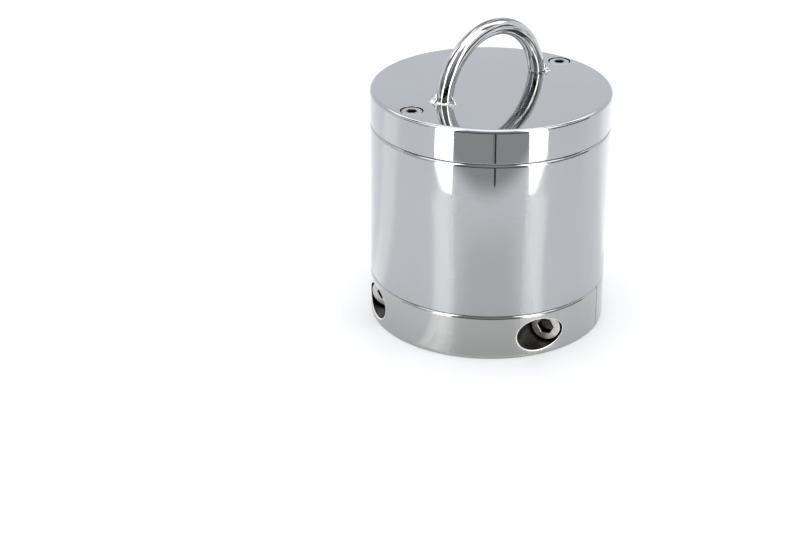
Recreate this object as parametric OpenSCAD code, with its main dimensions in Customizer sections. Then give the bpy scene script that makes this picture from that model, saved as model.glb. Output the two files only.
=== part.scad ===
// Round steel canister. A lid with a welded lifting ring is screwed onto a thick-walled body, and the
// body's neck is gripped from below by a split clamp collar of the same outer diameter.
// Millimetres, +Z up. The origin is at the centre of the collar's underside. The collar's two clamp
// screws run along Y, and their key pockets open to the front, -Y.

/* [Canister] */
// Outer diameter shared by the collar, the body and the lid
outer_d = 80; // [78:1:90]
// Height of the body between the collar and the lid
body_h = 53.5; // [30:0.5:90]
// Diameter of the cavity inside the body
cavity_d = 58; // [44:1:60]
// Thickness of the body's floor
floor_t = 8; // [5:0.5:14]
// Radius of the polished rounding on each upper edge
edge_r = 1.3; // [0.5:0.1:1.3]
// Chamfer on each lower edge
lower_chamfer = 0.4; // [0.2:0.1:0.8]

/* [Lid] */
// Thickness of the lid above the body
lid_h = 11.5; // [9:0.5:18]
// Depth of the spigot that centres the lid in the cavity
spigot_h = 3; // [1:0.5:6]
// Angle of the line through the ring and the lid screws, from +X
lid_line_angle = 67.5; // [0:0.5:180]
// Distance of each lid screw from the axis, along that line
lid_screw_offset = 34.6; // [33:0.1:34.6]
// Sideways shift of both lid screws off that line
lid_screw_shift = 1.4; // [0:0.1:1.5]

/* [Ring] */
// Diameter of the ring's wire
wire_d = 5.5; // [4:0.5:6]
// Radius of the ring's centre line
ring_r = 21.6; // [18:0.1:22]
// Depth of the ring's centre below the lid's top face
ring_sink = 1.5; // [0:0.5:3]
// Width of the weld bead at each foot of the ring
weld_w = 2.2; // [1:0.1:2.5]
// Height of the weld bead
weld_h = 2.8; // [1:0.1:3]
// Angle that the left foot's weld spans, centred on the foot's outward side
weld_span_left = 250; // [200:10:300]
// Angle that the right foot's weld spans, centred on the foot's outward side
weld_span_right = 140; // [60:10:160]

/* [Clamp collar] */
// Height of the collar
collar_h = 15.5; // [15:0.5:20]
// Gap between the collar's two halves
split_gap = 0.5; // [0.2:0.1:1.5]
// Height of the clamp screws' axes above the underside
clamp_screw_z = 7.4; // [7:0.1:8]
// Distance of each clamp screw from the collar's centre line
clamp_screw_offset = 29.3; // [28.6:0.1:29.4]

/* [Neck] */
// Diameter of the opening through the neck
neck_bore_d = 30; // [10:1:32]
// Outer diameter of the neck
neck_d = 36; // [35:0.5:37]
// Outer diameter of the flange at the foot of the neck
flange_d = 42; // [40:0.5:42]

/* [Hidden] */
$fn = 96;

outer_r = outer_d / 2;
body_top = collar_h + body_h;
lid_top = body_top + lid_h;
cut = 0.01;            // small overshoot, so that a cut passes cleanly through a face
slack = 0.05;          // radial running clearance of a screw in its threaded hole
play = 0.3;            // clearance between the neck and the collar's groove

// Neck and groove heights, from the underside
lip_h = 4;
groove_top = 9;
axial_play = 0.25;

// Lid screws: M4 socket head cap screws
m4_shank_r = 2;
m4_head_r = 3.5;
m4_head_h = 4;
m4_key = 3;
m4_key_depth = 2;
m4_length = 16;
m4_pocket_r = 3.8;
m4_clear_r = 2.25;
m4_sink = 0.15;        // depth of the head's top below the lid's top face
m4_thread_depth = 11;

// Clamp screws: M6 socket head cap screws
m6_shank_r = 3;
m6_head_r = 5;
m6_head_h = 6;
m6_key = 5;
m6_key_depth = 3;
m6_length = 25;
m6_pocket_r = 5.6;
m6_clear_r = 3.3;
m6_seat = 14.3;        // distance of the head's seat from the split
m6_thread_depth = 13;

head_chamfer = 0.3;
tip_chamfer = 0.6;

// Turned solid from z0 to z1, with a rounded upper edge and a chamfered lower edge
module turned(r, z0, z1) {
    rotate_extrude() {
        translate([0, z0 + lower_chamfer])
            square([r, z1 - edge_r - z0 - lower_chamfer]);
        translate([0, z1 - edge_r - cut])
            square([r - edge_r, edge_r + cut]);
        translate([r - edge_r, z1 - edge_r])
            circle(r = edge_r);
        polygon([
            [0, z0], [r - lower_chamfer, z0], [r, z0 + lower_chamfer], [0, z0 + lower_chamfer + cut]
        ]);
    }
}

// Places children on the lid's line at a distance r from the axis, shifted off the line by shift
module on_lid_line(side, r, shift = 0) {
    rotate([0, 0, lid_line_angle])
        translate([side * r, shift, 0])
            children();
}

// Socket head cap screw with its seat at the origin, its head up +Z and its shank down -Z
module cap_screw(shank_r, head_r, head_h, key, key_depth, length) {
    key_r = key / (2 * cos(30));
    difference() {
        rotate_extrude()
            polygon([
                [0, -length], [shank_r - tip_chamfer, -length], [shank_r, tip_chamfer - length],
                [shank_r, 0], [head_r, 0], [head_r, head_h - head_chamfer],
                [head_r - head_chamfer, head_h], [0, head_h]
            ]);
        translate([0, 0, head_h - key_depth])
            cylinder(r = key_r, h = key_depth + cut, $fn = 6);
    }
}

module lid_screw(side) {
    on_lid_line(side, lid_screw_offset, lid_screw_shift)
        translate([0, 0, lid_top - m4_sink - m4_head_h])
            cap_screw(m4_shank_r, m4_head_r, m4_head_h, m4_key, m4_key_depth, m4_length);
}

// Turns an upright child so that its +Z end points to the front, on a clamp screw's axis
module on_clamp_axis(side, y) {
    translate([side * clamp_screw_offset, y, clamp_screw_z])
        rotate([90, 0, 0])
            children();
}

module clamp_screw(side) {
    on_clamp_axis(side, -m6_seat)
        cap_screw(m6_shank_r, m6_head_r, m6_head_h, m6_key, m6_key_depth, m6_length);
}

// Thick-walled tube with a floor, and a flanged neck below the floor
module body() {
    color("lightgray")
    difference() {
        union() {
            turned(outer_r, collar_h, body_top);
            translate([0, 0, lip_h + axial_play])
                cylinder(d = neck_d, h = collar_h - lip_h);
            translate([0, 0, lip_h + axial_play])
                cylinder(d = flange_d, h = groove_top - lip_h - 2 * axial_play);
        }
        translate([0, 0, collar_h + floor_t])
            cylinder(d = cavity_d, h = body_h);
        cylinder(d = neck_bore_d, h = collar_h + floor_t + cut);
        for (side = [-1, 1])
            on_lid_line(side, lid_screw_offset, lid_screw_shift)
                translate([0, 0, body_top - m4_thread_depth])
                    cylinder(r = m4_shank_r + slack, h = m4_thread_depth + cut);
    }
}

module lid() {
    spigot_gap = 0.1;
    color("gainsboro")
    difference() {
        union() {
            turned(outer_r, body_top, lid_top);
            translate([0, 0, body_top - spigot_h])
                cylinder(d = cavity_d - 2 * spigot_gap, h = spigot_h + cut);
        }
        for (side = [-1, 1])
            on_lid_line(side, lid_screw_offset, lid_screw_shift) {
                translate([0, 0, body_top - cut])
                    cylinder(r = m4_clear_r, h = lid_h);
                translate([0, 0, lid_top - m4_sink - m4_head_h])
                    cylinder(r = m4_pocket_r, h = m4_head_h + m4_sink + cut);
            }
    }
}

// Complete wire ring, upright on the lid's line
module wire_ring() {
    rotate([0, 0, lid_line_angle])
        translate([0, 0, lid_top - ring_sink])
            rotate([90, 0, 0])
                rotate_extrude()
                    translate([ring_r, 0])
                        circle(d = wire_d);
}

// The part of the ring that stands above the lid
module ring() {
    color("silver")
    intersection() {
        wire_ring();
        translate([-outer_r, -outer_r, lid_top])
            cube([outer_d, outer_d, ring_r + wire_d]);
    }
}

// Tapering weld bead around one foot of the ring, left out on the side that faces the axis
module ring_weld(side, span) {
    wire_r = wire_d / 2;
    foot_r = sqrt(ring_r * ring_r - ring_sink * ring_sink);
    reach = 10;
    color("darkgray")
    difference() {
        on_lid_line(side, foot_r)
            rotate([0, 0, side < 0 ? 180 : 0])
                translate([0, 0, lid_top])
                    difference() {
                        rotate_extrude()
                            polygon([
                                [0, 0], [wire_r + weld_w, 0], [wire_r + weld_w / 2, weld_h / 4],
                                [wire_r + weld_w / 4, weld_h / 2], [wire_r, weld_h], [0, weld_h]
                            ]);
                        translate([0, 0, -cut])
                            linear_extrude(weld_h + 2 * cut)
                                polygon([
                                    [0, 0], [reach * cos(span / 2), reach * sin(span / 2)],
                                    [-reach, reach], [-reach, -reach],
                                    [reach * cos(span / 2), -reach * sin(span / 2)]
                                ]);
                    }
        wire_ring();
    }
}

// Collar before it is split: bore, groove and the rounded outside
module collar_blank() {
    difference() {
        turned(outer_r, 0, collar_h);
        translate([0, 0, -cut])
            cylinder(r = neck_d / 2 + play, h = collar_h + 2 * cut);
        translate([0, 0, lip_h])
            cylinder(r = flange_d / 2 + play, h = groove_top - lip_h);
    }
}

// Half space in front of (side = -1) or behind (side = 1) the split
module half_space(side) {
    translate([-outer_d, side < 0 ? -2 * outer_d - split_gap / 2 : split_gap / 2, -outer_d])
        cube([2 * outer_d, 2 * outer_d, 2 * outer_d]);
}

// Half with the key pockets and the screws' clearance holes
module collar_front() {
    color("silver")
    difference() {
        intersection() {
            collar_blank();
            half_space(-1);
        }
        for (side = [-1, 1]) {
            on_clamp_axis(side, -m6_seat)
                cylinder(r = m6_pocket_r, h = outer_d);
            on_clamp_axis(side, cut)
                cylinder(r = m6_clear_r, h = m6_seat + 2 * cut);
        }
    }
}

// Half with the threaded holes
module collar_rear() {
    color("silver")
    difference() {
        intersection() {
            collar_blank();
            half_space(1);
        }
        for (side = [-1, 1])
            on_clamp_axis(side, m6_thread_depth)
                cylinder(r = m6_shank_r + slack, h = m6_thread_depth);
    }
}

body();
lid();
ring();
ring_weld(-1, weld_span_left);  // ring_weld_left
ring_weld(1, weld_span_right);  // ring_weld_right
color("dimgray") lid_screw(-1);  // lid_screw_left
color("dimgray") lid_screw(1);  // lid_screw_right
collar_front();
collar_rear();
color("dimgray") clamp_screw(-1);  // clamp_screw_left
color("dimgray") clamp_screw(1);  // clamp_screw_right
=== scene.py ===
"""Polished steel canister with a lifting ring and a split clamp collar, in a plain studio."""

import math

import bpy
from mathutils import Matrix, Vector, noise
from mathutils.geometry import delaunay_2d_cdt


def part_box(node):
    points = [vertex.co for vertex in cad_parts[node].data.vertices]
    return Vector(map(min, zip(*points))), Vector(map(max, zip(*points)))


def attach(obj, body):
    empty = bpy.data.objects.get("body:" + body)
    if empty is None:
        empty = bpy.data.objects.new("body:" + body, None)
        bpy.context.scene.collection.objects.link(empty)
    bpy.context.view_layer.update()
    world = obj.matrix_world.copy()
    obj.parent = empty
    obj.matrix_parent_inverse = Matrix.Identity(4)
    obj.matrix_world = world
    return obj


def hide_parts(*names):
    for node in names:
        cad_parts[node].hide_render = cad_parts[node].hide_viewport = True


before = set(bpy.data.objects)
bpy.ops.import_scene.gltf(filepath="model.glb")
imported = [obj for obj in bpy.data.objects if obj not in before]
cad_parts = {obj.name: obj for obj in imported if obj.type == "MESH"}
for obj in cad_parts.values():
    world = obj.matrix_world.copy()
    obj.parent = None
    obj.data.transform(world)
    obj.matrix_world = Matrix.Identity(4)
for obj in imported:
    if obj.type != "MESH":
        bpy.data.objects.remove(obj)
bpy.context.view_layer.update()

MM = 0.001
X, Y, Z = Vector((1, 0, 0)), Vector((0, 1, 0)), Vector((0, 0, 1))

# ---- sizes read from the frame ----

OUTER_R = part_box("lid")[1].x
LID_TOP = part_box("lid")[1].z
BODY_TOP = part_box("body")[1].z
COLLAR_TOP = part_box("collar_rear")[1].z
NECK_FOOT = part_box("body")[0].z
SPIGOT_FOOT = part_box("lid")[0].z
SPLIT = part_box("collar_rear")[0].y
RING_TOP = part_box("ring")[1].z


def centre_of(node):
    low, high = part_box(node)
    return (low + high) / 2


# ---- sizes the boxes don't give, as in the CAD model ----

EDGE_R = 1.3 * MM
LOWER_EDGE_R = 0.4 * MM
BREAK_R = 0.2 * MM
CAVITY_R = 29 * MM
FLOOR_Z = COLLAR_TOP + 8 * MM
NECK_R = 18 * MM
NECK_BORE_R = 15 * MM
FLANGE_R = 21 * MM
FLANGE_TOP = 8.75 * MM
SPIGOT_R = 28.9 * MM
LIP_BORE_R = 18.3 * MM
GROOVE_R = 21.3 * MM
GROOVE_Z = (4 * MM, 9 * MM)
WIRE_R = 2.75 * MM
RING_SINK = 1.5 * MM
POCKET_BREAK = 0.06 * MM   # rounding at the mouth of a lid screw's pocket
FOOT_BEVEL = 0.35 * MM     # bevel of the wire where it stands on the lid
KEY_POCKET_RIM = 0.32 * MM
RING_CENTRE = Z * (LID_TOP - RING_SINK)
RING_R = RING_TOP - WIRE_R - (LID_TOP - RING_SINK)

# slots of the pieces' materials
OUTSIDE, INSIDE, POCKET_SHADE, RIM_HIGHLIGHT = 0, 1, 2, 2
HEAD, SOCKET_SHADE, SHANK, KNURL_SHADE = range(4)

M4 = {
    "shank": 2 * MM, "head": 3.5 * MM, "head_h": 4 * MM, "key": 3 * MM, "socket": 2 * MM,
    "length": 16 * MM, "pitch": 0.7 * MM, "pocket": 3.8 * MM, "clear": 2.25 * MM, "sink": 0.15 * MM,
    "thread_depth": 11 * MM, "knurls": 48, "edge": 0.34 * MM, "bevel": 0.2 * MM,
    "bevel_slot": SOCKET_SHADE,
}
M6 = {
    "shank": 3 * MM, "head": 5 * MM, "head_h": 6 * MM, "key": 5 * MM, "socket": 3 * MM,
    "length": 25 * MM, "pitch": 1.0 * MM, "pocket": 5.6 * MM, "clear": 3.3 * MM, "seat": 14.3 * MM,
    "thread_depth": 13 * MM, "knurls": 60, "edge": 0.35 * MM, "bevel": 0.12 * MM,
    "bevel_slot": HEAD,
}
SLACK = 0.05 * MM
LID_KEY_ANGLE = math.radians(21.5)    # way that two corners of the lid screws' sockets point

THREAD_GROOVE = 0.3 * MM      # depth of the grooves in a threaded hole
TAPER = math.radians(30)      # slope of a blind hole's end

AROUND = 256          # columns round a turned surface
HOLE_AROUND = 64      # columns round a hole
SCREW_AROUND = 48     # columns round a screw's shank
THREAD_ROWS = 8       # rows to each turn of a thread
RIM_STEPS = 4         # rows across the rounded mouth of a hole
LEVEL = 1e-7          # heights and radii that differ by less are the same

LID_SCREWS = {side: centre_of("lid_screw_" + side) for side in ("left", "right")}
CLAMP_SCREWS = {side: centre_of("clamp_screw_" + side) for side in ("left", "right")}
LID_SPAN = LID_SCREWS["right"] - LID_SCREWS["left"]
LID_LINE = Vector((LID_SPAN.x, LID_SPAN.y, 0)).normalized()   # through the screws and the ring's feet


# ---- mesh making ----

class Surface:
    """Collects faces with their own corner normals, and welds corners that share a place."""

    CELL = 1e-6
    OFF_EDGE = 0.1234     # keeps round sizes away from the border between two cells

    def __init__(self):
        self.index = {}
        self.points = []
        self.faces = []
        self.normals = []
        self.slots = []

    def corner(self, p):
        key = tuple(round(c / self.CELL + self.OFF_EDGE) for c in p)
        if key not in self.index:
            self.index[key] = len(self.points)
            self.points.append(Vector(p))
        return self.index[key]

    def face(self, points, normals, slot=OUTSIDE):
        ids, kept = [], []
        for p, n in zip(points, normals):
            i = self.corner(p)
            if i not in ids:
                ids.append(i)
                kept.append(Vector(n).normalized())
        if len(ids) < 3:
            return
        mean = sum(kept, Vector())
        area = Vector()
        first = self.points[ids[0]]
        for a, b in zip(ids[1:], ids[2:]):
            area += (self.points[a] - first).cross(self.points[b] - first)
        if area.dot(mean) < 0:
            ids.reverse()
            kept.reverse()
        self.faces.append(ids)
        self.normals.extend(kept)
        self.slots.append(slot)

    def grid(self, rows, normals, slot=OUTSIDE, closed=False, skip=()):
        """Quads between neighbouring rows. closed joins each row's last point to its first."""
        count = len(rows[0])
        for i in range(len(rows) - 1):
            for j in range(count if closed else count - 1):
                if (i, j) in skip:
                    continue
                k = (j + 1) % count
                self.face(
                    [rows[i][j], rows[i][k], rows[i + 1][k], rows[i + 1][j]],
                    [normals[i][j], normals[i][k], normals[i + 1][k], normals[i + 1][j]],
                    slot,
                )

    def flat(self, outline, holes, normal, slot=OUTSIDE):
        """A flat face with convex holes. All its points lie in one plane."""
        normal = Vector(normal)
        turn = normal.rotation_difference(Vector((0, 0, 1)))
        points, edges, loops = [], [], []
        for number, loop in enumerate((outline, *holes)):
            start, count = len(points), len(loop)
            points += loop
            loops += [number] * count
            edges += [(start + k, start + (k + 1) % count) for k in range(count)]
        flattened = [(turn @ Vector(p)).to_2d() / MM for p in points]
        inside_outline, nearness = 1, 1e-6
        made = delaunay_2d_cdt(flattened, edges, [], inside_outline, nearness)
        triangles, sources = made[2:4]
        for triangle in triangles:
            # one with all its corners on the same hole lies in that hole, so it is left out
            corners = [sources[i][0] for i in triangle]
            touched = {loops[i] for i in corners}
            if len(touched) > 1 or touched == {0}:
                self.face([points[i] for i in corners], [normal] * 3, slot)

    def piece(self, name, body, slot_name, materials, nodes):
        mesh = bpy.data.meshes.new(name)
        mesh.from_pydata(self.points, [], self.faces)
        for material in materials:
            mesh.materials.append(material)
        mesh.polygons.foreach_set("material_index", self.slots)
        mesh.polygons.foreach_set("use_smooth", [True] * len(self.faces))
        mesh.normals_split_custom_set(self.normals)
        mesh.update()
        piece = bpy.data.objects.new(name, mesh)
        bpy.context.scene.collection.objects.link(piece)
        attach(piece, body)
        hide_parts(*nodes)
        return piece


def slopes(rows, closed):
    """Normals of a grid, from the differences between its neighbouring points."""
    last, count = len(rows) - 1, len(rows[0])
    out = []
    for i, row in enumerate(rows):
        line = []
        for j in range(count):
            ahead, behind = (j + 1, j - 1) if closed else (min(j + 1, count - 1), max(j - 1, 0))
            along = row[ahead % count] - row[behind % count]
            across = rows[min(i + 1, last)][j] - rows[max(i - 1, 0)][j]
            line.append(along.cross(across))
        out.append(line)
    return out


def outward(normals, way):
    """The normals of a grid, all turned round if the first of them points against way."""
    return [[-n for n in line] for line in normals] if normals[0][0].dot(way) < 0 else normals


def full_turn(count):
    return [2 * math.pi * i / count for i in range(count)]


def circle(centre, radius, x_axis, y_axis, count):
    return [centre + radius * (math.cos(t) * x_axis + math.sin(t) * y_axis) for t in full_turn(count)]


def rounded(corners):
    """Closed profile from corners of (r, z, rounding), counter-clockwise.

    Each row is a point (r, z), its normal as the end of a segment and its normal as a start.
    """
    rows = []
    count = len(corners)
    for i, (r, z, radius) in enumerate(corners):
        here = Vector((r, z))
        back = (Vector(corners[i - 1][:2]) - here).normalized()
        ahead = (Vector(corners[(i + 1) % count][:2]) - here).normalized()
        n_back, n_ahead = Vector((-back.y, back.x)), Vector((ahead.y, -ahead.x))
        if radius == 0:
            rows.append((here, n_back, n_ahead))
            continue
        half = back.angle(ahead) / 2
        reach = radius / math.tan(half)
        centre = here + (back + ahead).normalized() * radius / math.sin(half)
        sign = 1 if n_back.dot(ahead) < 0 else -1
        steps = 8 if radius > 0.6 * MM else 4
        first = here + back * reach - centre
        last = here + ahead * reach - centre
        whole = first.angle_signed(last)
        for k in range(steps + 1):
            spoke = first.copy()
            spoke.rotate(Matrix.Rotation(-whole * k / steps, 2))
            normal = spoke.normalized() * sign
            rows.append((centre + spoke, normal, normal))
    return rows


def lathe(surface, profile, slot, skip):
    """Turns a profile about Z. skip holds the numbers of the profile's segments that are left open."""
    spokes = circle(Vector(), 1, X, Y, AROUND)
    for i in range(len(profile)):
        if i in skip:
            continue
        a, _, na = profile[i]
        b, nb, _ = profile[(i + 1) % len(profile)]
        rows = [[s * p.x + Z * p.y for s in spokes] for p in (a, b)]
        normals = [[s * n.x + Z * n.y for s in spokes] for n in (na, nb)]
        surface.grid(rows, normals, slot, closed=True)


def segment_at(profile, z):
    """Number of the profile's level segment at height z."""
    count = len(profile)
    return next(
        i for i in range(count)
        if abs(profile[i][0].y - z) < LEVEL and abs(profile[(i + 1) % count][0].y - z) < LEVEL
    )


def level_ends(profile, i):
    """The radii at the two ends of a profile's level segment, larger first."""
    a, b = profile[i][0].x, profile[(i + 1) % len(profile)][0].x
    return max(a, b), min(a, b)


def ring_points(radius, z):
    return circle(Z * z, radius, X, Y, AROUND)


class Hole:
    """A round hole along an axis, built from its mouth inwards. Its x axis is X."""

    def __init__(self, surface, centre, axis):
        self.surface, self.centre, self.axis, self.slot = surface, centre, axis, INSIDE
        self.y_axis = axis.cross(X)

    def ring(self, radius, depth):
        return circle(self.centre + self.axis * depth, radius, X, self.y_axis, HOLE_AROUND)

    def band(self, radius_a, depth_a, radius_b, depth_b, normal_a, normal_b, slot=None):
        """Normals are (inwards to the axis, back out of the mouth)."""
        rows = [self.ring(radius_a, depth_a), self.ring(radius_b, depth_b)]
        toward = [-s for s in circle(Vector(), 1, X, self.y_axis, HOLE_AROUND)]
        normals = [
            [t * n[0] - self.axis * n[1] for t in toward] for n in (normal_a, normal_b)
        ]
        self.surface.grid(rows, normals, self.slot if slot is None else slot, closed=True)

    def rim(self, radius, size):
        """Rounds the mouth's edge. Returns the ring where the flat face ends, at radius + size."""
        for k in range(RIM_STEPS):
            a, b = (math.pi / 2 * x / RIM_STEPS for x in (k, k + 1))
            self.band(
                radius + size * (1 - math.sin(a)), size * (1 - math.cos(a)),
                radius + size * (1 - math.sin(b)), size * (1 - math.cos(b)),
                (math.sin(a), math.cos(a)), (math.sin(b), math.cos(b)), OUTSIDE,
            )
        return self.ring(radius + size, 0)

    def wall(self, radius, depth_a, depth_b):
        self.band(radius, depth_a, radius, depth_b, (1, 0), (1, 0))

    def step(self, radius_a, radius_b, depth):
        self.band(radius_a, depth, radius_b, depth, (0, 1), (0, 1))

    def cone(self, radius, depth):
        slope = (math.sin(TAPER), math.cos(TAPER))
        self.band(radius, depth, 0.0, depth + radius * math.tan(TAPER), slope, slope)

    def threads(self, radius, pitch, depth_a, depth_b):
        """Helical grooves cut outwards from the hole's wall, fading at both ends."""
        count = int((depth_b - depth_a) / pitch * THREAD_ROWS)
        flank = 2.4       # how fast a groove's side climbs, in depths to a pitch
        spokes = circle(Vector(), 1, X, self.y_axis, HOLE_AROUND)
        rows = []
        for i in range(count + 1):
            depth = depth_a + (depth_b - depth_a) * i / count
            fade = min(1, i / THREAD_ROWS, (count - i) / THREAD_ROWS)
            row = []
            for j, spoke in enumerate(spokes):
                phase = (depth / pitch + j / HOLE_AROUND) % 1
                groove = THREAD_GROOVE * max(0.0, 1 - abs(phase - 0.5) * flank) * fade
                row.append(self.centre + self.axis * depth + spoke * (radius + groove))
            rows.append(row)
        normals = outward(slopes(rows, closed=True), self.centre - rows[0][0])
        self.surface.grid(rows, normals, self.slot, closed=True)


def tapped_hole(surface, centre, axis, screw, depth):
    """Blind threaded hole. Returns the ring where the flat face meets it."""
    hole = Hole(surface, centre, axis)
    radius = screw["shank"] + SLACK
    mouth = hole.rim(radius, BREAK_R)
    hole.threads(radius, screw["pitch"], BREAK_R, depth)
    hole.cone(radius, depth)
    return mouth


# ---- materials ----

BUFFING = (2.2, 5200.0, 5200.0)   # stretch of the buffing lines: round the axis, up and outwards
# WIRE_STREAK also stretches the ring's dark colour streaks, which are painted reflections
WIRE_STREAK = 0.55                # the same along the wire


def nodes_of(name):
    material = bpy.data.materials.new(name)
    material.use_nodes = True
    tree = material.node_tree
    shader = tree.nodes["Principled BSDF"]
    return material, tree, shader


def node(tree, kind, links=None, **settings):
    """A new node. links gives sources for its inputs, and settings give inputs or properties."""
    made = tree.nodes.new(kind)
    for key, value in settings.items():
        if key in made.inputs:
            made.inputs[key].default_value = value
        else:
            setattr(made, key, value)
    for key, source in (links or {}).items():
        tree.links.new(source, made.inputs[key])
    return made


def ramp(tree, source, stops):
    made = tree.nodes.new("ShaderNodeValToRGB")
    tree.links.new(source, made.inputs["Fac"])
    while len(made.color_ramp.elements) < len(stops):
        made.color_ramp.elements.new(0.5)
    for element, (place, colour) in zip(made.color_ramp.elements, stops):
        element.position = place
        element.color = (*colour, 1)
    return made


def grey(value, tint=(1, 1, 1)):
    return tuple(value * t for t in tint)


def math_node(tree, operation, *sources):
    return node(tree, "ShaderNodeMath", dict(enumerate(sources)), operation=operation).outputs["Value"]


def noise_node(tree, place, **settings):
    return node(tree, "ShaderNodeTexNoise", {"Vector": place}, **settings)


def bumps(tree, shader, layers):
    """Bumps one on top of another. layers are (texture node, strength, distance)."""
    normal = None
    for texture, strength, distance in layers:
        links = {"Height": texture.outputs["Fac"]}
        if normal:
            links["Normal"] = normal
        bump = node(tree, "ShaderNodeBump", links, Strength=strength, Distance=distance)
        normal = bump.outputs["Normal"]
    tree.links.new(normal, shader.inputs["Normal"])


def turned_place(tree, place):
    """A point's angle, height and radius, so that a pattern can run round the axis."""
    parts = node(tree, "ShaderNodeSeparateXYZ", {"Vector": place})
    angle = math_node(tree, "ARCTAN2", parts.outputs["Y"], parts.outputs["X"])
    squares = node(tree, "ShaderNodeVectorMath", {0: place, 1: place}, operation="MULTIPLY")
    flat = node(tree, "ShaderNodeSeparateXYZ", {"Vector": squares.outputs["Vector"]})
    radius = math_node(tree, "SQRT", math_node(tree, "ADD", flat.outputs["X"], flat.outputs["Y"]))
    made = node(tree, "ShaderNodeCombineXYZ", {"X": angle, "Y": parts.outputs["Z"], "Z": radius})
    return made.outputs["Vector"]


def polished_steel(name, base, rough, scratches=0.03, tint=(1, 1, 1)):
    """Mirror-polished stainless steel: faint buffing lines, fine scratches and a few smudges."""
    material, tree, shader = nodes_of(name)
    place = node(tree, "ShaderNodeTexCoord").outputs["Object"]
    shader.inputs["Metallic"].default_value = 1.0

    smudge = noise_node(tree, place, Scale=38.0, Detail=5.0, Roughness=0.6)
    tone = ramp(tree, smudge.outputs["Fac"], [(0.3, grey(0.965 * base, tint)), (0.7, grey(base, tint))])
    tree.links.new(tone.outputs["Color"], shader.inputs["Base Color"])

    stretch = node(tree, "ShaderNodeVectorMath", {0: turned_place(tree, place)}, operation="MULTIPLY")
    stretch.inputs[1].default_value = BUFFING
    lines = noise_node(tree, stretch.outputs["Vector"], Scale=1.0, Detail=3.0)
    fine = noise_node(tree, place, Scale=900.0, Detail=2.0)
    wave = noise_node(tree, place, Scale=55.0, Detail=1.0)

    haze = ramp(tree, smudge.outputs["Fac"], [(0.35, grey(rough)), (0.75, grey(rough * 1.7))])
    streak = ramp(tree, lines.outputs["Fac"], [(0.45, grey(0.0)), (0.8, grey(scratches))])
    total = math_node(tree, "ADD", haze.outputs["Color"], streak.outputs["Color"])
    tree.links.new(total, shader.inputs["Roughness"])

    bumps(tree, shader, [(wave, 0.02, 0.4 * MM), (lines, 0.03, 0.004 * MM), (fine, 0.02, 0.004 * MM)])
    return material


def machined_steel(name, dark, light, rough):
    """Steel left as it was cut: tool marks, and a dull tone that runs from its dark to its light colour
    with the grain's noise. Where it is given dark colours, as for the pockets, sockets and knurls, the
    tone is painted shade.
    """
    material, tree, shader = nodes_of(name)
    place = node(tree, "ShaderNodeTexCoord").outputs["Object"]
    shader.inputs["Metallic"].default_value = 1.0
    grain = noise_node(tree, place, Scale=420.0, Detail=6.0, Roughness=0.7)
    patch = noise_node(tree, place, Scale=90.0, Detail=3.0)
    mixed = math_node(tree, "MULTIPLY", grain.outputs["Fac"], patch.outputs["Fac"])
    tone = ramp(tree, mixed, [(0.15, dark), (0.42, light)])
    tree.links.new(tone.outputs["Color"], shader.inputs["Base Color"])
    level = ramp(tree, grain.outputs["Fac"], [(0.3, grey(rough * 0.8)), (0.7, grey(rough * 1.25))])
    tree.links.new(level.outputs["Color"], shader.inputs["Roughness"])
    marks = node(tree, "ShaderNodeTexWave", {"Vector": place}, Scale=520.0, Distortion=1.5, Detail=2.0)
    bumps(tree, shader, [(marks, 0.25, 0.02 * MM), (grain, 0.3, 0.03 * MM)])
    return material


def wire_painted_reflections(name, base, rough):
    """Drawn wire, polished by hand: broad and fine streaks along the wire, in its roughness and bumps,
    and in its colour as dark, warm painted reflections.
    """
    material, tree, shader = nodes_of(name)
    place = node(tree, "ShaderNodeTexCoord").outputs["Object"]
    local = node(tree, "ShaderNodeMapping", {"Vector": place}, vector_type="TEXTURE")
    local.inputs["Location"].default_value = RING_CENTRE
    local.inputs["Rotation"].default_value = (0, 0, math.atan2(LID_LINE.y, LID_LINE.x))
    parts = node(tree, "ShaderNodeSeparateXYZ", {"Vector": local.outputs["Vector"]})
    along = math_node(tree, "ARCTAN2", parts.outputs["Z"], parts.outputs["X"])
    plane = node(tree, "ShaderNodeCombineXYZ", {"X": parts.outputs["X"], "Y": parts.outputs["Z"]})
    reach = node(tree, "ShaderNodeVectorMath", {0: plane.outputs["Vector"]}, operation="LENGTH")
    out = node(tree, "ShaderNodeMath", {0: reach.outputs["Value"]}, operation="SUBTRACT")
    out.inputs[1].default_value = RING_R
    turned = node(
        tree, "ShaderNodeCombineXYZ",
        {"X": along, "Y": parts.outputs["Y"], "Z": out.outputs["Value"]},
    )
    stretched = node(tree, "ShaderNodeVectorMath", {0: turned.outputs["Vector"]}, operation="MULTIPLY")
    stretched.inputs[1].default_value = (WIRE_STREAK, 1 / WIRE_R, 1 / WIRE_R)
    broad = noise_node(tree, stretched.outputs["Vector"], Scale=1.5, Detail=2.0)
    thin = noise_node(tree, stretched.outputs["Vector"], Scale=7.0, Detail=4.0)
    mixed = math_node(tree, "ADD", broad.outputs["Fac"], thin.outputs["Fac"])
    # where the streaks are low, the wire goes dark and warm: painted dark reflections
    tone = ramp(tree, mixed, [
        (0.80, grey(0.22 * base, (1.10, 1, 0.84))), (0.95, grey(0.75 * base)), (1.0, grey(base)),
    ])
    tree.links.new(tone.outputs["Color"], shader.inputs["Base Color"])
    shader.inputs["Metallic"].default_value = 1.0
    level = ramp(tree, thin.outputs["Fac"], [(0.35, grey(rough)), (0.7, grey(rough * 2.2))])
    tree.links.new(level.outputs["Color"], shader.inputs["Roughness"])
    bumps(tree, shader, [(broad, 0.35, 0.25 * MM), (thin, 0.25, 0.05 * MM)])
    return material


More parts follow.
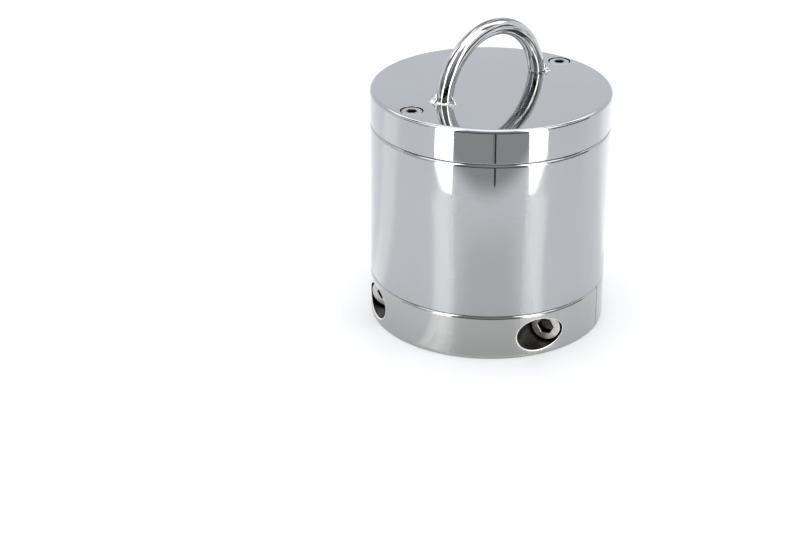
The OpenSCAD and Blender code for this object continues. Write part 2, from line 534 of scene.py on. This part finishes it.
STEEL = polished_steel("polished_steel", 0.43, 0.03, tint=(0.965, 0.995, 1.01))
COLLAR_STEEL = polished_steel("collar_steel", 0.42, 0.05, scratches=0.05, tint=(0.99, 1.01, 0.98))
# dark, warm streaks: painted reflections on the ring
RING_PAINTED_REFLECTIONS = wire_painted_reflections("ring_steel", 0.56, 0.05)
# brighter steel on the rounded rims of the collar's key pockets: a painted highlight
RIM_PAINTED_HIGHLIGHT = polished_steel("rim_painted_highlight", 0.85, 0.12)
# near black: painted shade in the lid screws' pockets and on the collar's inner faces and key pockets
POCKET_SHADE_STEEL = machined_steel("pocket_painted_shade", (0.025, 0.023, 0.017), (0.15, 0.145, 0.12), 0.36)
INNER_STEEL = machined_steel("inner_steel", (0.20, 0.20, 0.20), (0.42, 0.42, 0.42), 0.30)
SCREW_STEEL = machined_steel("screw_steel", (0.36, 0.36, 0.36), (0.50, 0.50, 0.50), 0.10)
# far brighter than the body's steel: painted light on the tops of the M6 heads, which sit back in shaded
# key pockets
CLAMP_HEAD_PAINTED_LIGHT = machined_steel("clamp_screw_painted_light", (0.50, 0.49, 0.47), (0.92, 0.91, 0.88), 0.42)
SHANK_STEEL = machined_steel("shank_steel", (0.30, 0.29, 0.28), (0.55, 0.54, 0.52), 0.26)
# dark: painted shade on the screw heads' knurled sides and undersides, in the gaps of their pockets
KNURL_SHADE_STEEL = machined_steel("knurl_painted_shade", (0.10, 0.10, 0.095), (0.34, 0.34, 0.33), 0.30)
# near black: painted shade down the screws' hex sockets and on the M4 sockets' bevels
SOCKET_SHADE_STEEL = machined_steel("socket_painted_shade", (0.03, 0.027, 0.024), (0.14, 0.13, 0.12), 0.42)
WELD_STEEL = machined_steel("weld_steel", (0.45, 0.45, 0.43), (0.92, 0.92, 0.90), 0.14)


# ---- the object's pieces ----

def make_body():
    surface = Surface()
    profile = rounded([
        (NECK_BORE_R, NECK_FOOT, 0.3 * MM), (FLANGE_R, NECK_FOOT, 0.3 * MM),
        (FLANGE_R, FLANGE_TOP, 0.3 * MM), (NECK_R, FLANGE_TOP, BREAK_R),
        (NECK_R, COLLAR_TOP, BREAK_R), (OUTER_R, COLLAR_TOP, LOWER_EDGE_R),
        (OUTER_R, BODY_TOP, EDGE_R), (CAVITY_R, BODY_TOP, 0.3 * MM),
        (CAVITY_R, FLOOR_Z, 1.0 * MM), (NECK_BORE_R, FLOOR_Z, 0.5 * MM),
    ])
    top = segment_at(profile, BODY_TOP)
    outer_skin = [
        i for i in range(len(profile))
        if min(profile[i][0].x, profile[(i + 1) % len(profile)][0].x) > CAVITY_R + MM
    ]
    inside = [i for i in range(len(profile)) if i not in outer_skin]
    lathe(surface, profile, OUTSIDE, skip=[top, *inside])
    lathe(surface, profile, INSIDE, skip=[top, *outer_skin])
    outer, inner = level_ends(profile, top)
    mouths = [
        tapped_hole(surface, Vector((p.x, p.y, BODY_TOP)), -Z, M4, M4["thread_depth"])
        for p in LID_SCREWS.values()
    ]
    surface.flat(ring_points(outer, BODY_TOP), [ring_points(inner, BODY_TOP), *mouths], Z)
    surface.piece("canister_body", "canister", "polished_steel", [STEEL, INNER_STEEL], ["body"])


def make_lid():
    surface = Surface()
    profile = rounded([
        (0, SPIGOT_FOOT, 0), (SPIGOT_R, SPIGOT_FOOT, LOWER_EDGE_R), (SPIGOT_R, BODY_TOP, BREAK_R),
        (OUTER_R, BODY_TOP, LOWER_EDGE_R), (OUTER_R, LID_TOP, EDGE_R), (0, LID_TOP, 0),
    ])
    axis = len(profile) - 1
    foot, shoulder, top = (segment_at(profile, z) for z in (SPIGOT_FOOT, BODY_TOP, LID_TOP))
    lathe(surface, profile, OUTSIDE, skip=[axis, foot, shoulder, top])
    upper, lower = [], []
    seat = M4["head_h"] + M4["sink"]
    bottom = LID_TOP - BODY_TOP
    for p in LID_SCREWS.values():
        pocket = Hole(surface, Vector((p.x, p.y, LID_TOP)), -Z)
        upper.append(pocket.rim(M4["pocket"], POCKET_BREAK))
        # the pocket's wall and step take the near-black steel of painted shade
        pocket.slot = POCKET_SHADE
        pocket.wall(M4["pocket"], POCKET_BREAK, seat)
        pocket.step(M4["pocket"], M4["clear"], seat)
        pocket.slot = INSIDE
        pocket.wall(M4["clear"], seat, bottom)
        lower.append(pocket.ring(M4["clear"], bottom))
    outer, inner = level_ends(profile, shoulder)
    surface.flat(ring_points(outer, BODY_TOP), [ring_points(inner, BODY_TOP), *lower], -Z, INSIDE)
    surface.flat(ring_points(level_ends(profile, top)[0], LID_TOP), upper, Z)
    surface.flat(ring_points(level_ends(profile, foot)[0], SPIGOT_FOOT), [], -Z, INSIDE)
    surface.piece("lid_disc", "lid_unit", "polished_steel", [STEEL, INNER_STEEL, POCKET_SHADE_STEEL], ["lid"])


def make_ring():
    surface = Surface()
    side = Z.cross(LID_LINE)
    overlap = 0.02          # radians that each foot reaches below the lid's top
    uneven = 0.006          # share of the wire's radius
    bevel_lean = 0.8        # how far the bevel's normals lean down
    low = math.asin(RING_SINK / RING_R) - overlap
    rows, normals, bends, sections = [], [], 160, 48
    for i in range(bends + 1):
        bend = low + (math.pi - 2 * low) * i / bends
        spoke = math.cos(bend) * LID_LINE + math.sin(bend) * Z
        row, tilt = [], []
        for turn in full_turn(sections):
            out = math.cos(turn) * spoke + math.sin(turn) * side
            wobble = 1 - uneven + uneven * noise.noise(Vector((3 * bend, turn, 0.5)))
            place = RING_CENTRE + spoke * RING_R + out * WIRE_R * wobble
            near = max(0.0, 1 - (place.z - LID_TOP) / FOOT_BEVEL)
            row.append(place - out * min(1.0, near) * FOOT_BEVEL)
            tilt.append(out - Z * bevel_lean if near > 0 else out)
        rows.append(row)
        normals.append(tilt)
    surface.grid(rows, normals, closed=True)
    for end, way in ((0, 1), (-1, -1)):
        surface.flat(rows[end], [], side.cross(rows[end][0] - RING_CENTRE) * way)
    surface.piece("lifting_ring", "lid_unit", "ring_steel", [RING_PAINTED_REFLECTIONS], ["ring"])


def make_weld(side_name, sign, span, humps):
    """Rippled bead on the outward side of one foot, over a span in degrees.

    humps are (angle in degrees, breadth in degrees, share of the full size).
    """
    surface = Surface()
    line = LID_LINE * sign
    side = Z.cross(line)
    foot = math.sqrt(RING_R ** 2 - RING_SINK ** 2) * line + Z * LID_TOP
    width, height = 2.1 * MM, 2.7 * MM
    bite, core = WIRE_R * 0.96, WIRE_R * 0.7      # where the bead's toe and its hidden back lie
    ripple, lumps, grain, thinnest = 0.13, 0.16, 0.10, 0.06      # shares of the bead's size
    hollow, lean = 1.1, 0.012                     # its profile's exponent and its slope inwards
    ripple_rate, lump_rate = 15, 3.1              # how close the ripples and lumps lie
    stations, across, end_stations = 96, 12, 6
    rows, spokes = [], []
    for i in range(stations + 1):
        turn = math.radians(span) * (i / stations - 0.5)
        spoke = math.cos(turn) * line + math.sin(turn) * side
        size = max(
            share * math.exp(-((math.degrees(turn) - angle) / breadth) ** 2)
            for angle, breadth, share in humps
        )
        ends = min(1.0, i / end_stations, (stations - i) / end_stations)
        uneven = 1 + ripple * math.sin(turn * ripple_rate) + lumps * noise.noise(spoke * lump_rate)
        size = max(thinnest, size * uneven * math.sin(math.pi / 2 * ends) ** 0.5)
        row = []
        for k in range(across + 1):
            climb = k / across
            lump = 1 + grain * noise.noise(Vector((turn * 5, climb * 4, sign * 3.0)))
            out = bite + width * size * lump * (1 - climb) ** hollow
            rise = height * size * lump * climb ** hollow
            row.append(foot + spoke * out * (1 - lean * climb) + Z * rise)
        rows.append(row)
        spokes.append(spoke)
    normals = slopes(rows, closed=False)
    if normals[stations // 2][across // 2].dot(spokes[stations // 2]) < 0:
        normals = [[-n for n in line] for line in normals]
    surface.grid(rows, normals)
    tops = [row[-1] for row in rows]
    toes = [row[0] for row in rows]
    inner_tops = [Vector((foot.x, foot.y, p.z)) + s * core for p, s in zip(tops, spokes)]
    inner_toes = [foot + s * core for s in spokes]
    count = stations + 1
    surface.grid([tops, inner_tops], [[Z] * count] * 2)
    surface.grid([inner_toes, toes], [[-Z] * count] * 2)
    surface.grid([inner_tops, inner_toes], [[-s for s in spokes]] * 2)
    for row, top, toe, way in (
        (rows[0], inner_tops[0], inner_toes[0], -1), (rows[-1], inner_tops[-1], inner_toes[-1], 1)
    ):
        spoke = (row[0] - foot).normalized()
        cap = Z.cross(spoke) * way
        for k in range(across):
            surface.face([toe, row[k], row[k + 1]], [cap] * 3)
        surface.face([toe, row[-1], top], [cap] * 3)
    surface.piece(
        "weld_bead_" + side_name, "lid_unit", "weld_metal", [WELD_STEEL], ["ring_weld_" + side_name]
    )


def make_screw(name, body, seat, up, x_axis, screw, head_steel):
    """Socket head cap screw: knurled head, hexagonal socket and a threaded shank."""
    surface = Surface()
    y_axis = up.cross(x_axis)
    head, head_h, shank = screw["head"], screw["head_h"], screw["shank"]
    edge, bevel, knurl = screw["edge"], screw["bevel"], 0.11 * MM

    def point(radius, turn, height):
        return seat + radius * (math.cos(turn) * x_axis + math.sin(turn) * y_axis) + up * height

    # head: rows of (radius, height, share of the knurls' depth)
    turns = full_turn(screw["knurls"] * 4)
    waist = head - 0.05 * MM
    steps = [
        (head - 0.3 * MM, 0, 0), (waist, 0.25 * MM, 0.3),
        (head, 0.5 * MM, 1), (head, head_h - 2 * edge, 1), (waist, head_h - 1.3 * edge, 0.3),
    ]
    side_rows = len(steps)
    steps += [
        (waist - edge * (1 - math.cos(a)), head_h - edge * (1 - math.sin(a)), 0)
        for a in (math.pi / 2 * k / 5 for k in range(6))
    ]
    rows = [
        [point(r - cut * knurl * (0.5 - 0.5 * math.cos(screw["knurls"] * t)), t, h) for t in turns]
        for r, h, cut in steps
    ]
    normals = slopes(rows, closed=True)
    if normals[3][0].dot(rows[3][0] - seat) < 0:
        normals = [[-n for n in line] for line in normals]
    normals[-1] = [up] * len(turns)
    head_foot = rows[0]
    # the knurled side takes the dark steel of painted shade
    surface.grid(rows[:side_rows], normals[:side_rows], KNURL_SHADE, closed=True)
    surface.grid(rows[side_rows - 1:], normals[side_rows - 1:], HEAD, closed=True)

    # socket
    flats = full_turn(6)
    corner = screw["key"] / math.sqrt(3)
    sag = 0.35            # depth of the socket's pointed end, as a share of its radius
    mouth = [point(corner + bevel, t, head_h) for t in flats]
    neck = [point(corner, t, head_h - bevel) for t in flats]
    foot = [point(corner, t, head_h - screw["socket"]) for t in flats]
    tip = point(0, 0, head_h - screw["socket"] - sag * corner)
    surface.flat(rows[-1], [mouth], up, HEAD)
    for k in range(6):
        m = (k + 1) % 6
        middle = point(1, flats[k] + math.pi / 6, 0) - seat
        bevel_normal = up - middle.normalized()
        surface.face([mouth[k], mouth[m], neck[m], neck[k]], [bevel_normal] * 4, screw["bevel_slot"])
        # the socket's walls and pointed end take the near-black steel of painted shade
        surface.face([neck[k], neck[m], foot[m], foot[k]], [-middle] * 4, SOCKET_SHADE)
        surface.face([foot[k], foot[m], tip], [up - sag * middle.normalized()] * 3, SOCKET_SHADE)

    # shank
    length, pitch, chamfer = screw["length"], screw["pitch"], 0.7 * MM
    count = int(length / pitch * THREAD_ROWS)
    depth, flank = 0.6 * pitch, 2.5
    rows = []
    for i in range(count + 1):
        down = length * i / count
        fade = min(1, i / THREAD_ROWS)
        tip_cut = max(0.0, down - length + chamfer)
        row = []
        for j, turn in enumerate(full_turn(SCREW_AROUND)):
            phase = (down / pitch + j / SCREW_AROUND) % 1
            groove = max(0.0, 1 - abs(phase - 0.5) * flank)
            radius = shank - depth * groove * fade
            row.append(point(min(radius, shank - tip_cut), turn, -down))
        rows.append(row)
    normals = outward(slopes(rows, closed=True), rows[0][0] - seat)
    surface.grid(rows, normals, SHANK, closed=True)
    surface.flat(rows[-1], [], -up, SHANK)
    surface.flat(head_foot, [rows[0]], -up, KNURL_SHADE)
    materials = [head_steel, SOCKET_SHADE_STEEL, SHANK_STEEL, KNURL_SHADE_STEEL]
    surface.piece(name, body, "screw_steel", materials, [body])


COLLAR_ROWS = 12          # rows up the collar's outer skin
COLLAR_REACH = math.acos((abs(SPLIT) + BREAK_R) / OUTER_R)    # angle from a half's middle to its end
PATCH_MARGIN = 0.012      # share of the reach that a pocket's patch leaves at its sides


def collar_profile():
    return rounded([
        (LIP_BORE_R, 0, 0.3 * MM), (OUTER_R, 0, LOWER_EDGE_R), (OUTER_R, COLLAR_TOP, EDGE_R),
        (LIP_BORE_R, COLLAR_TOP, 0.3 * MM), (LIP_BORE_R, GROOVE_Z[1], BREAK_R),
        (GROOVE_R, GROOVE_Z[1], BREAK_R), (GROOVE_R, GROOVE_Z[0], BREAK_R),
        (LIP_BORE_R, GROOVE_Z[0], BREAK_R),
    ])


def spoke_at(place):
    return Vector((place.x, place.y, 0)).normalized()


def make_collar_half(name, node_name, facing, pockets):
    """One half of the collar. facing is -Y or +Y, the way that the half bulges."""
    surface = Surface()
    columns, half_gap = 128, abs(SPLIT)
    profile = collar_profile()

    # the skin's tall outer segment is cut into rows, so that the pockets' patches can join it
    tall = next(
        i for i, (p, _, _) in enumerate(profile)
        if p.x > OUTER_R - LEVEL and profile[i + 1][0].x > OUTER_R - LEVEL
        and profile[i + 1][0].y - p.y > COLLAR_TOP / 3
    )
    low, high = profile[tall][0].y, profile[tall + 1][0].y
    levels = [low + (high - low) * k / COLLAR_ROWS for k in range(COLLAR_ROWS + 1)]
    flat_n = profile[tall][2]
    between = [(Vector((OUTER_R, z)), flat_n, flat_n) for z in levels[1:-1]]
    profile[tall + 1:tall + 1] = between

    def swept(p, s):
        """Point of the profile's point p at share s of the half's sweep."""
        turn = s * math.acos((half_gap + BREAK_R) / p.x)
        return p.x * (math.sin(turn) * X + math.cos(turn) * facing) + Z * p.y

    shares = [-1 + 2 * j / columns for j in range(columns + 1)]
    pocket_spans = {}
    if pockets:
        for side, centre in CLAMP_SCREWS.items():
            xs = (centre.x - M6["pocket"], centre.x + M6["pocket"])
            lo, hi = (math.asin(v / OUTER_R) / COLLAR_REACH for v in xs)
            first = max(j for j, s in enumerate(shares) if s < lo - PATCH_MARGIN)
            last = min(j for j, s in enumerate(shares) if s > hi + PATCH_MARGIN)
            pocket_spans[side] = (first, last)

    for i, (a, _, na) in enumerate(profile):
        b, nb, _ = profile[(i + 1) % len(profile)]
        skip = set()
        if tall <= i < tall + COLLAR_ROWS:
            skip = {(0, j) for first, last in pocket_spans.values() for j in range(first, last)}
        grid_rows = [[swept(p, s) for s in shares] for p in (a, b)]
        grid_normals = [
            [spoke_at(q) * n.x + Z * n.y for q in row] for row, n in zip(grid_rows, (na, nb))
        ]
        level_face = abs(a.y) < LEVEL or abs(a.y - COLLAR_TOP) < LEVEL
        inner = max(a.x, b.x) < OUTER_R - EDGE_R - BREAK_R and not level_face
        surface.grid(grid_rows, grid_normals, INSIDE if inner else OUTSIDE, skip=skip)

    # rounded edge into the split's face, and the face itself
    steps = 3
    ends = {}
    for sign in (-1, 1):
        rims, tilts = [], []
        for k in range(steps + 1):
            turn = math.pi / 2 * k / steps
            inset = BREAK_R * (1 - math.cos(turn))
            rim, tilt = [], []
            for p, n, _ in profile:
                q = p - n * inset
                y = half_gap + BREAK_R * (1 - math.sin(turn))
                x = math.sqrt(q.x ** 2 - y ** 2)
                place = sign * x * X + y * facing + Z * q.y
                rim.append(place)
                tilt.append((spoke_at(place) * n.x + Z * n.y) * math.cos(turn) - facing * math.sin(turn))
            rims.append(rim)
            tilts.append(tilt)
        surface.grid(rims, tilts, closed=True)
        ends[sign] = rims[-1]

    for side, centre in CLAMP_SCREWS.items():
        sign = 1 if centre.x > 0 else -1
        mouth_at = Vector((centre.x, 0, centre.z)) + facing * half_gap
        if pockets:
            through = Hole(surface, mouth_at, facing)
            mouth = through.rim(M6["clear"], BREAK_R)
            through.wall(M6["clear"], BREAK_R, M6["seat"] - half_gap)
            first, last = pocket_spans[side]
            angles = [s * COLLAR_REACH for s in shares[first:last + 1]]
            make_pocket(surface, centre, angles, levels)
        else:
            mouth = tapped_hole(surface, mouth_at, facing, M6, M6["thread_depth"] - half_gap)
        surface.flat(ends[sign], [mouth], -facing)
    # the inner faces and key pockets get near-black steel, which is painted shade, and the pockets' rims
    # get brighter steel, which is a painted highlight
    materials = [COLLAR_STEEL, POCKET_SHADE_STEEL, RIM_PAINTED_HIGHLIGHT]
    surface.piece(name, node_name, "polished_steel", materials, [node_name])


def make_pocket(surface, centre, angles, heights):
    """Round key pocket that breaks out of the front skin in an oval, with a rounded rim.

    angles and heights are those of the skin's points round the patch that is left out for it.
    """
    radius = M6["pocket"]

    # the patch's outer border, in order round the pocket
    border = [(a, heights[0]) for a in angles]
    border += [(angles[-1], z) for z in heights[1:]]
    border += [(a, heights[-1]) for a in reversed(angles[:-1])]
    border += [(angles[0], z) for z in reversed(heights[1:-1])]

    lo, hi = (math.asin((centre.x + s * radius) / OUTER_R) for s in (-1, 1))
    middle, half = (lo + hi) / 2, (hi - lo) / 2
    turns = [math.atan2((z - centre.z) / radius, (a - middle) / half) for a, z in border]

    def edge_point(t):
        x = centre.x + radius * math.cos(t)
        return Vector((x, -math.sqrt(OUTER_R ** 2 - x ** 2), centre.z + radius * math.sin(t)))

    arcs, tilts = [], []
    steps, nudge = 5, 1e-4
    for t in turns:
        p = edge_point(t)
        tangent = (edge_point(t + nudge) - edge_point(t - nudge)).normalized()
        skin_n = spoke_at(p)
        wall_n = Vector((-math.cos(t), 0, -math.sin(t)))
        out = tangent.cross(skin_n)
        out = out if out.dot(wall_n) < 0 else -out
        down = tangent.cross(wall_n)
        down = down if down.dot(skin_n) < 0 else -down
        a, b = p + out * KEY_POCKET_RIM, p + down * KEY_POCKET_RIM
        arc, tilt = [], []
        for k in range(steps + 1):
            s = k / steps
            arc.append(a * (1 - s) ** 2 + p * 2 * s * (1 - s) + b * s ** 2)
            way = (p - a) * (1 - s) + (b - p) * s
            n = way.cross(tangent)
            tilt.append(n if n.dot(skin_n + wall_n) > 0 else -n)
        arcs.append(arc)
        tilts.append(tilt)
    rim_rows = [[arc[k] for arc in arcs] for k in range(steps + 1)]
    rim_tilts = [[tilt[k] for tilt in tilts] for k in range(steps + 1)]
    # the rim takes the brighter steel of the painted highlight
    surface.grid(rim_rows, rim_tilts, RIM_HIGHLIGHT, closed=True)

    # the skin between the rim and the border
    layers = 6
    rows = [rim_rows[0]]
    for k in range(1, layers + 1):
        share = k / layers
        row = []
        for p, (angle, z) in zip(rim_rows[0], border):
            start = math.atan2(p.x, -p.y)
            turn = start + (angle - start) * share
            row.append(Vector((
                OUTER_R * math.sin(turn), -OUTER_R * math.cos(turn), p.z + (z - p.z) * share
            )))
        rows.append(row)
    surface.grid(rows, [[Vector((p.x, p.y, 0)) for p in row] for row in rows], closed=True)

    # wall down to the seat, and the seat round the screw's hole
    seat_y = -M6["seat"]
    around = [Vector((math.cos(t), 0, math.sin(t))) for t in turns]
    foot = [Vector((centre.x, seat_y, centre.z)) + s * radius for s in around]
    wall = [rim_rows[-1]] + [
        [a.lerp(b, k / layers) for a, b in zip(rim_rows[-1], foot)] for k in range(1, layers + 1)
    ]
    surface.grid(wall, [[-s for s in around] for _ in wall], INSIDE, closed=True)
    hole = Hole(surface, Vector((centre.x, seat_y, centre.z)), Y)
    surface.flat(foot, [hole.ring(M6["clear"], 0)], -Y, INSIDE)


make_body()
make_lid()
make_ring()
make_weld("left", -1, span=250, humps=[(-46, 34, 1.0), (35, 60, 0.20), (106, 24, 0.85)])
make_weld("right", 1, span=140, humps=[(-34, 38, 1.0), (30, 40, 0.6)])
lid_key_line = Vector((math.cos(LID_KEY_ANGLE), math.sin(LID_KEY_ANGLE), 0))
for side, place in LID_SCREWS.items():
    seat = Vector((place.x, place.y, LID_TOP - M4["sink"] - M4["head_h"]))
    make_screw("cap_screw_m4_" + side, "lid_screw_" + side, seat, Z, lid_key_line, M4, SCREW_STEEL)
make_collar_half("collar_half_front", "collar_front", -Y, pockets=True)
make_collar_half("collar_half_rear", "collar_rear", Y, pockets=False)
for side, place in CLAMP_SCREWS.items():
    seat = Vector((place.x, -M6["seat"], place.z))
    # the heads get the bright steel of painted light
    make_screw("cap_screw_m6_" + side, "clamp_screw_" + side, seat, -Y, X, M6, CLAMP_HEAD_PAINTED_LIGHT)


# ---- studio ----

FRONT = math.radians(21.5)    # the studio faces this side of the object, from -Y towards +X
OPENING = (-31, 34)           # azimuths of the dark gap between the two white flaps
SCREEN = 0.45                 # distance of the cards that stand in front
UNDER = (0.041, 0.170)        # distances of the layers on the floor at the object's foot
ROOM = 0.9                    # distance of the darker room at the sides
SOFTBOXES = 0.6               # distance of the softboxes above
FAN_STEPS = 12                # columns of a curved card
WHITE = (1, 1, 1, 1)


def studio(azimuth, distance, height):
    """A place in the studio. Azimuth is in degrees from its front, positive towards +X."""
    turn = FRONT + math.radians(azimuth)
    return Vector((distance * math.sin(turn), -distance * math.cos(turn), height))


def cover_glow(tree, share):
    """Lets a card's glow show only by the share that a socket gives."""
    clear = node(tree, "ShaderNodeBsdfTransparent")
    glow = tree.nodes["Emission"].outputs["Emission"]
    mix = node(tree, "ShaderNodeMixShader", {0: share, 1: clear.outputs["BSDF"], 2: glow})
    tree.links.new(mix.outputs["Shader"], tree.nodes["Material Output"].inputs["Surface"])


def emitter(name, radiance, fade=None):
    """fade is (near, far): distances in front of the object between which a card fades in."""
    material = bpy.data.materials.new(name)
    material.use_nodes = True
    tree = material.node_tree
    tree.nodes.clear()
    out = node(tree, "ShaderNodeOutputMaterial")
    glow = node(tree, "ShaderNodeEmission", Color=WHITE, Strength=radiance)
    tree.links.new(glow.outputs["Emission"], out.inputs["Surface"])
    if fade is not None:
        place = node(tree, "ShaderNodeTexCoord").outputs["Object"]
        ahead = node(tree, "ShaderNodeVectorMath", {0: place}, operation="DOT_PRODUCT")
        ahead.inputs[1].default_value = studio(0, 1, 0)
        share = node(tree, "ShaderNodeMapRange", {"Value": ahead.outputs["Value"]})
        share.interpolation_type = "SMOOTHSTEP"
        share.inputs["From Min"].default_value, share.inputs["From Max"].default_value = fade
        cover_glow(tree, share.outputs["Result"])
    return material


def card(name, corners, radiance, fade=None):
    """A studio card that shows only in reflections. corners are its rows of points."""
    mesh = bpy.data.meshes.new(name)
    columns = len(corners[0])
    faces = [
        (r * columns + c, r * columns + c + 1, (r + 1) * columns + c + 1, (r + 1) * columns + c)
        for r in range(len(corners) - 1) for c in range(columns - 1)
    ]
    mesh.from_pydata([p for row in corners for p in row], [], faces)
    mesh.materials.append(emitter(name, radiance, fade))
    made = bpy.data.objects.new(name, mesh)
    bpy.context.scene.collection.objects.link(made)
    made.visible_camera = False
    made.visible_diffuse = False
    made.visible_shadow = False
    return made


def spread(ends):
    """A curved card's azimuths, from one end to the other."""
    return [ends[0] + (ends[1] - ends[0]) * k / FAN_STEPS for k in range(FAN_STEPS + 1)]


def level_fan(name, azimuths, distances, radiance, lift=1 * MM, fade=None):
    """A card that lies on the floor, over a range of azimuths and distances."""
    card(name, [[studio(a, d, lift) for a in spread(azimuths)] for d in distances], radiance, fade)


def upright_fan(name, azimuths, distance, heights, radiance):
    """A card that stands round the object, over a range of azimuths and heights."""
    card(name, [[studio(a, distance, h) for a in spread(azimuths)] for h in heights], radiance)


def smooth(share):
    share = min(1.0, max(0.0, share))
    return share * share * (3 - 2 * share)


def veil(name, near, far, distances, radiance, cover, far_fade):
    """A thin layer on the floor, in reflections only, that fades out at its sides and its far end.

    near and far are its ranges of azimuth at its two ends, cover is its densest share and far_fade
    is the share of its length that the far end's fade takes.
    """
    columns, rows = 32, 12
    corners, covers = [], []
    for r in range(rows + 1):
        out = r / rows
        first, last = (a + (b - a) * out for a, b in zip(near, far))
        line = []
        for c in range(columns + 1):
            along = c / columns
            line.append(studio(
                first + (last - first) * along,
                distances[0] + (distances[1] - distances[0]) * out, 0.5 * MM,
            ))
            sides = smooth(3 * along) * smooth(3 * (1 - along))
            covers.append(cover * sides * smooth((1 - out) / far_fade))
        corners.append(line)
    made = card(name, corners, radiance)
    made.data.attributes.new("cover", "FLOAT", "POINT").data.foreach_set("value", covers)
    tree = made.data.materials[0].node_tree
    cover_glow(tree, node(tree, "ShaderNodeAttribute", attribute_name="cover").outputs["Fac"])


def make_floor():
    reach = 6.0
    mesh = bpy.data.meshes.new("floor")
    corners = [(x * reach, y * reach, 0) for x, y in ((-1, -1), (1, -1), (1, 1), (-1, 1))]
    mesh.from_pydata(corners, [], [(0, 1, 2, 3)])
    material, tree, shader = nodes_of("floor_white")
    place = node(tree, "ShaderNodeTexCoord").outputs["Object"]
    cloud = noise_node(tree, place, Scale=4.0, Detail=3.0)
    tone = ramp(tree, cloud.outputs["Fac"], [(0.3, (0.91, 0.905, 0.895)), (0.7, (0.94, 0.935, 0.925))])
    tree.links.new(tone.outputs["Color"], shader.inputs["Base Color"])
    shader.inputs["Roughness"].default_value = 0.30
    shader.inputs["Specular IOR Level"].default_value = 0.2
    mesh.materials.append(material)
    made = bpy.data.objects.new("floor", mesh)
    bpy.context.scene.collection.objects.link(made)


def make_light(name, place, target, size, power):
    data = bpy.data.lights.new(name, "AREA")
    data.shape = "RECTANGLE"
    data.size, data.size_y = size
    data.energy = power
    made = bpy.data.objects.new(name, data)
    made.location = place
    made.rotation_mode = "QUATERNION"
    made.rotation_quaternion = (target - place).to_track_quat("-Z", "Y")
    bpy.context.scene.collection.objects.link(made)


def make_world():
    world = bpy.data.worlds.new("studio")
    world.use_nodes = True
    background = world.node_tree.nodes["Background"]
    background.inputs["Color"].default_value = (0.94, 0.965, 1.02, 1)
    background.inputs["Strength"].default_value = 1.06
    bpy.context.scene.world = world


def make_camera():
    data = bpy.data.cameras.new("camera")
    data.lens, data.sensor_width = 81.6, 36.0
    made = bpy.data.objects.new("camera", data)
    made.location = studio(0, distance=0.5636, height=0.2882)
    # turned a little to the left, so that the object stands right of the picture's centre
    yaw, pitch = FRONT + math.radians(3.051), math.radians(25.946)
    way = Vector((-math.sin(yaw) * math.cos(pitch), math.cos(yaw) * math.cos(pitch), -math.sin(pitch)))
    made.rotation_mode = "QUATERNION"
    made.rotation_quaternion = way.to_track_quat("-Z", "Y")
    bpy.context.scene.collection.objects.link(made)
    bpy.context.scene.camera = made


make_floor()
make_world()
make_camera()
make_light("overhead", place=Z * 1.3, target=Vector(), size=(1.4, 1.4), power=7.0)

# in front: the dark gap, the white flaps beside it and the thin dark seams down its middle
level_fan("front_opening", OPENING, (0.150, SCREEN), 0.52, fade=(0.158, 0.190))
for name, heights, radiance in (
    ("front_low", (0.0, 0.12), 0.02),
    ("front_middle", (0.12, 0.28), 0.30),
    ("front_high", (0.28, 0.80), 0.45),
):
    upright_fan(name, OPENING, SCREEN, heights, radiance)
for name, azimuths in (("flap_left", (-48, OPENING[0])), ("flap_right", (OPENING[1], 51))):
    level_fan(name, azimuths, (0.170, SCREEN), 5.0, fade=(0.125, 0.150))
    upright_fan(name + "_upright", azimuths, SCREEN, (0.0, 0.8), 5.0)
veil("front_shade", OPENING, OPENING, UNDER, 0.45, cover=0.32, far_fade=0.5)
veil("flap_glow_left", (-38, -18), (-53, -31), UNDER, 2.0, cover=0.32, far_fade=0.02)
veil("flap_glow_right", (20, 40), (34, 56), UNDER, 2.0, cover=0.30, far_fade=0.02)
veil("glow_left", (-116, -84), (-116, -84), (0.045, 0.30), 2.0, cover=0.26, far_fade=0.3)
veil("glow_right", (112, 156), (112, 156), (0.070, 0.40), 2.0, cover=0.30, far_fade=0.3)
level_fan("seam", (4.2, 5.6), (0.178, 0.44), 0.02, lift=2 * MM)
level_fan("seam_thin", (2.8, 3.2), (0.200, 0.44), 0.20, lift=2 * MM)

# at the sides: the room low down, and above it softboxes with a darker gap between each two
upright_fan("room_left", (-84, -56), ROOM, (0.02, 0.26), 0.50)
upright_fan("room_right", (56, 100), ROOM, (0.02, 0.30), 0.06)
for name, azimuths, radiance in (
    ("softbox_left_rear", (-128, -100), 2.6),
    ("shade_left", (-100, -76), 0.30),
    ("softbox_left", (-76, -50), 2.6),
    ("softbox_right", (53, 80), 2.6),
    ("shade_right", (80, 104), 0.30),
    ("softbox_right_rear", (104, 132), 2.6),
):
    upright_fan(name, azimuths, SOFTBOXES, (0.45, 1.3), radiance)

bpy.context.scene.view_settings.view_transform = "Standard"
